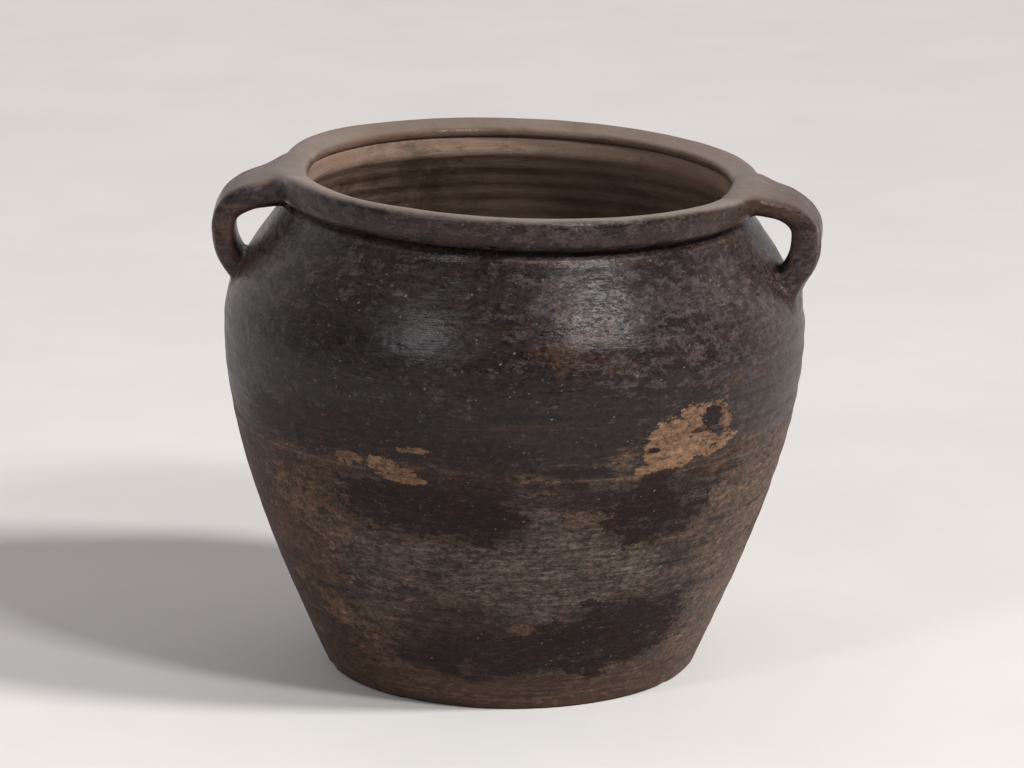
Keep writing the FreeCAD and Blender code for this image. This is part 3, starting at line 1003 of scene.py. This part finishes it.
def worn_patches(net, place, shade, rust):
    """Rust stains, dark soot, bare ochre clay and the dark islands in it, and the dust line below the rim."""
    shade = net.tint(shade, RUST_STAIN, rust)
    dark = place.patches(DARK_PATCHES)
    soot = net.tint(PURPLE_SOOT_AND_SHADE, BLACK_SLIP, net.step(place.fine_streaks, -0.05, 0.30))
    soot = net.tint(soot, BROWN_CLAY, net.step(place.flakes, 0.03, 0.09), 0.35)
    shade = net.tint(shade, soot, dark)
    ochre = place.patches(OCHRE_PATCHES)
    bare = net.tint(OCHRE_CLAY, PALE_OCHRE, net.step(place.streaks, -0.20, 0.25))
    ochre = net.times(ochre, net.step(net.plus(place.flakes, place.ragged), -0.30, -0.22))
    shade = net.tint(shade, bare, ochre)
    shade = net.tint(shade, PURPLE_SOOT_AND_SHADE, place.patches(ISLANDS))
    dust_line = net.times(place.band(240.2, 1.2), net.step(place.ragged, -0.14, 0.10))
    return net.tint(shade, TAN_CLAY, dust_line, 0.5), dark, ochre


def small_marks(net, place, shade):
    """Small chips, pale smudges, specks of dust and short level scratches."""
    position = place.position
    chips = specks(net, position, 300.0, 0.04, 0.30)
    shade = net.tint(shade, TAN_CLAY, chips, 0.5)
    smudge = net.step(net.noise(position, 120.0, 7.0, 0.78), 0.13, 0.22)
    shade = net.tint(shade, DUST, net.times(smudge, net.step(place.broad, -0.02, 0.12)), 0.40)
    shaken = net.vectors("ADD", position, net.vector(net.times(place.flakes, 0.004))).outputs[0]
    dots = specks(net, shaken, 430.0, 0.07, 0.27)
    shade = net.tint(shade, DUST, dots, 0.6)
    scratch = net.noise(net.scaled(position, (1.0, 1.0, 30.0)), 34.0, 2.0, 0.5, 0.4)
    scratches = net.times(net.step(scratch, 0.20, 0.27), net.step(place.ragged, 0.02, 0.12))
    return net.tint(shade, DUST, scratches, 0.45), chips, dots, scratches


def bare_foot_and_crease_shade(net, place, shade, rust):
    """The foot rubbed bare, and painted shade in the crease below the rim."""
    foot = net.step(net.plus(place.level, net.times(place.ragged, 26.0)), 24.0, 12.0)
    tan_share = net.math("MULTIPLY_ADD", place.flakes, 1.3, place.fine_streaks)
    foot_clay = net.tint(BROWN_CLAY, TAN_CLAY, net.step(tan_share, -0.08, 0.22))
    shade = net.tint(shade, foot_clay, foot, 0.75)
    shade = net.tint(shade, RUST_STAIN, net.times(foot, rust), 0.9)
    # Painted shade: a dark band in the crease under the rim.
    return net.tint(shade, PURPLE_SOOT_AND_SHADE, place.band(243.6, 3.2), 0.7)


def handling(net, place, shade, dusty, brown):
    """The rim's unslipped lining, brown stain, and dust on what faces up, thinner behind and on the right."""
    normal = net.node("ShaderNodeNewGeometry").outputs["Normal"]
    sideways = net.scaled(place.position, (1.0, 1.0, 0.0))
    outwards = net.vectors("DOT_PRODUCT", normal, sideways).outputs["Value"]
    radius = net.vectors("LENGTH", sideways).outputs["Value"]
    near_rim = net.step(net.math("MULTIPLY_ADD", place.ragged, 0.03, radius), 0.150, 0.124)
    lining = net.times(net.step(outwards, 0.005, -0.045), dusty)
    lining_clay = net.tint(TAN_CLAY, INSIDE_DARK, net.step(place.ragged, -0.15, 0.15))
    shade = net.tint(shade, lining_clay, lining)
    stain = net.step(net.plus(place.broad, place.ragged), -0.12, 0.22)
    shade = net.tint(shade, BROWN_CLAY, net.times(stain, brown))

    facing = net.node("ShaderNodeSeparateXYZ")
    net.feed(facing.inputs[0], normal)
    upwards = net.plus(facing.outputs[2], net.times(place.ragged, 0.9))
    behind = net.times(net.step(net.math("ABSOLUTE", place.angle), 85.0, 140.0), 0.52)
    rubbed = net.math("MAXIMUM", behind, net.times(net.step(place.angle, 55.0, 85.0), 0.26))
    dust_share = net.math("MINIMUM", net.math("MULTIPLY_ADD", near_rim, dusty, dusty), 0.85)
    settled = net.times(net.step(upwards, 0.35, 1.0), dust_share)
    settled = net.times(settled, net.math("SUBTRACT", 1.0, rubbed))
    browned = net.times(brown, net.math("MULTIPLY_ADD", near_rim, -0.6, 1.0))
    return net.tint(shade, net.tint(RIM_DUST, TAN_CLAY, browned), settled), settled


def outside_group():
    """Black slip over grey-brown clay, worn through in patches, with painted shade in the crease below the
    rim, as a node group for several materials.
    """
    group = bpy.data.node_groups.new("worn_slip_and_crease_shade", "ShaderNodeTree")
    for name, in_out, kind in GROUP_SOCKETS:
        group.interface.new_socket(name, in_out=in_out, socket_type=kind)
    net = Net(group)
    dusty, brown = net.node("NodeGroupInput").outputs[:2]
    place = Place(net)
    side_tan = net.times(net.step(place.angle, 38.0, 64.0), net.step(place.angle, 175.0, 120.0))
    clay = bare_clay(net, place, side_tan)
    slip, crust = black_slip(net, place, side_tan)
    cover = slip_cover(net, place)
    shade = level_streaks(net, place, net.tint(clay, slip, cover, 0.93))
    rust = place.patches(RUST_PATCHES)
    shade, dark, ochre = worn_patches(net, place, shade, rust)
    shade, chips, dots, scratches = small_marks(net, place, shade)
    mottle = net.weighted(
        1.0,
        (place.flakes, 3.8),
        (place.crust, 1.6),
        (place.grain, 2.2),
        (place.fine_streaks, 0.8),
        (place.ragged, 0.9),
    )
    shade = bare_foot_and_crease_shade(net, place, net.mottled(shade, mottle), rust)
    shade, settled = handling(net, place, shade, dusty, brown)
    rough = net.weighted(
        0.40,
        (net.step(place.level, 165.0, 205.0), -0.09),
        (place.streaks, 0.20),
        (place.ragged, 0.30),
        (place.flakes, 0.25),
        (net.math("SUBTRACT", 1.0, cover), 0.20),
        (dark, 0.10),
        (ochre, 0.16),
        (settled, 0.30),
    )
    height = net.weighted(
        0.0,
        (place.dents, 0.75),
        (place.fine_streaks, 0.10),
        (place.streaks, 0.16),
        (place.flakes, 0.07),
        (place.grain, 0.05),
        (crust, 0.05),
        (dark, 0.10),
        (cover, 0.12),
        (ochre, -0.22),
        (chips, -0.25),
        (scratches, -0.15),
        (dots, 0.10),
    )
    output = net.node("NodeGroupOutput")
    for socket, value in zip(output.inputs, (shade, rough, height)):
        net.feed(socket, value)
    return group


def outside_material(name, group, dusty, brown):
    """The worn slip with its share of dust and of brown stain."""
    material, net = new_material(name)
    slip = net.node("ShaderNodeGroup", node_tree=group)
    slip.inputs["Dusty"].default_value = dusty
    slip.inputs["Brown"].default_value = brown
    net.finish(*slip.outputs[:3], OUTSIDE_BUMP, SLIP_GLOSS)
    return material


def inside_material():
    """The unslipped inside: brown with soft turning lines, painted shade that darkens it lower down, and
    smoked in places.
    """
    material, net = new_material("clay_inside")
    place = Place(net)
    tone = net.math("MULTIPLY_ADD", place.ragged, 0.8, place.streaks)
    shade = net.tint(INSIDE_DARK, INSIDE_BROWN, net.step(tone, -0.40, 0.40))
    shade = net.tint(shade, TAN_CLAY, net.step(place.ragged, 0.10, 0.22), 0.5)
    # Painted shade: the inside grows darker towards the bottom.
    painted_deep_shade = net.step(net.math("MULTIPLY_ADD", place.ragged, 60.0, place.level), 250.0, 190.0)
    shade = net.tint(shade, BROWN_CLAY, painted_deep_shade, 0.55)
    shade = net.tint(shade, GREY_CLAY, net.step(net.plus(place.broad, place.crust), 0.02, 0.22), 0.5)
    shade = net.tint(shade, DUST, specks(net, place.position, 300.0, 0.06, 0.34), 0.5)
    rough = net.weighted(0.78, (place.ragged, 0.2))
    height = net.weighted(
        0.0, (place.fine_streaks, 0.16), (place.streaks, 0.24), (place.ragged, 0.40), (place.grain, 0.20)
    )
    net.finish(shade, rough, height, INSIDE_BUMP, INSIDE_GLOSS)
    return material


def floor_material():
    """The pale studio floor, very slightly mottled."""
    material, net = new_material("studio_floor")
    coordinates = net.node("ShaderNodeTexCoord")
    mottle = net.noise(coordinates.outputs["Object"], 6.0, 5.0, 0.6)
    shade = net.tint(FLOOR_GREY, FLOOR_WHITE, net.step(mottle, -0.3, 0.3))
    net.finish(shade, 0.85, mottle, FLOOR_BUMP, INSIDE_GLOSS)
    return material


# ---------------------------------------------------------------- light and camera


LAMP_SIZE = 0.26
LAMP_TARGET = (0.0, 0.0, 0.2)


def add_area_light(name, place, power, tint):
    """A soft square light that faces the pot."""
    light = bpy.data.lights.new(name, "AREA")
    light.size = LAMP_SIZE
    light.energy = power
    light.color = tint
    lamp = bpy.data.objects.new(name, light)
    lamp.location = place
    lamp.rotation_euler = (Vector(LAMP_TARGET) - Vector(place)).to_track_quat("-Z", "Y").to_euler()
    bpy.context.scene.collection.objects.link(lamp)


def add_sun(name, from_right, height, strength, softness, tint):
    """A distant soft light, given by its turn to the right of the front and its height, in degrees."""
    light = bpy.data.lights.new(name, "SUN")
    light.energy = strength
    light.angle = math.radians(softness)
    light.color = tint
    turn, rise = math.radians(from_right), math.radians(height)
    towards = Vector((math.sin(turn) * math.cos(rise), -math.cos(turn) * math.cos(rise), math.sin(rise)))
    lamp = bpy.data.objects.new(name, light)
    lamp.rotation_euler = towards.to_track_quat("Z", "Y").to_euler()
    lamp.visible_glossy = False
    bpy.context.scene.collection.objects.link(lamp)


def pale_surroundings():
    """A plain pale world, brighter behind the pot, as a white wall there makes it."""
    world = bpy.data.worlds.new("studio")
    world.use_nodes = True
    tree = world.node_tree
    coordinates = tree.nodes.new("ShaderNodeTexCoord")
    parts = tree.nodes.new("ShaderNodeSeparateXYZ")
    ramp = tree.nodes.new("ShaderNodeMapRange")
    ramp.interpolation_type = "SMOOTHSTEP"
    for name, value in (("From Min", -0.5), ("From Max", 0.7), ("To Min", 0.16), ("To Max", 0.85)):
        ramp.inputs[name].default_value = value
    background = tree.nodes["Background"]
    background.inputs[0].default_value = WALL_WHITE
    tree.links.new(coordinates.outputs["Generated"], parts.inputs[0])
    tree.links.new(parts.outputs[1], ramp.inputs["Value"])
    tree.links.new(ramp.outputs[0], background.inputs[1])
    return world


FLOOR_SIZE = 14.0


def build_studio():
    """A pale floor and surroundings, a key light from the right, and two lamps for the shoulder's sheen."""
    bpy.ops.mesh.primitive_grid_add(x_subdivisions=8, y_subdivisions=8, size=FLOOR_SIZE)
    ground = bpy.context.object
    ground.name = "studio_floor"
    ground.data.materials.append(floor_material())
    bpy.context.scene.world = pale_surroundings()
    add_sun("key", from_right=70.0, height=41.0, strength=2.9, softness=9.0, tint=(1.0, 0.98, 0.95))
    add_area_light("window", place=(1.12, -1.25, 1.68), power=26.0, tint=(1.0, 0.99, 0.97))
    add_area_light("fill", place=(-0.95, -1.25, 1.12), power=7.0, tint=(0.95, 0.97, 1.0))


CAMERA_PLACE = (0.00098, -2.5, 0.80187)
CAMERA_PITCH = 0.25659
CAMERA_LENS = 174.83
SENSOR_WIDTH = 36.0
VIEW_DEPTH = 50.0


def build_camera():
    """The camera at the picture's viewing angle."""
    camera = bpy.data.cameras.new("camera")
    camera.lens = CAMERA_LENS
    camera.sensor_width = SENSOR_WIDTH
    camera.clip_end = VIEW_DEPTH
    holder = bpy.data.objects.new("camera", camera)
    holder.location = CAMERA_PLACE
    holder.rotation_euler = (math.pi / 2 - CAMERA_PITCH, 0.0, 0.0)
    bpy.context.scene.collection.objects.link(holder)
    bpy.context.scene.camera = holder


# ---------------------------------------------------------------- the pot


def main():
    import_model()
    bpy.context.scene.view_settings.view_transform = "Standard"
    slip_and_crease_shade = outside_group()
    body_clay = outside_material("clay_outside", slip_and_crease_shade, dusty=0.0, brown=0.0)
    rim_clay = outside_material("clay_rim", slip_and_crease_shade, dusty=0.85, brown=0.40)
    handle_clay = outside_material("clay_handle", slip_and_crease_shade, dusty=0.40, brown=0.66)
    inside_clay = inside_material()

    wall = build_wall()
    wall.data.materials[0] = body_clay
    wall.data.materials[1] = inside_clay
    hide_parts("lower_wall", "upper_wall")

    rim = build_rim()
    rim.data.materials.append(rim_clay)
    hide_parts("rim_collar")

    floor = build_floor()
    floor.data.materials.append(inside_clay)
    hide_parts("floor_slab")

    section = Table(section_distance, *SECTION_TABLE)
    pieces = [wall, rim, floor]
    for side in HANDLES:
        strap = build_handle(side, section)
        strap.data.materials.append(handle_clay)
        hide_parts(f"{side}_handle", f"{side}_handle_pad")
        pieces.append(strap)
    for piece in pieces:
        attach(piece, "root")

    build_studio()
    build_camera()


main()
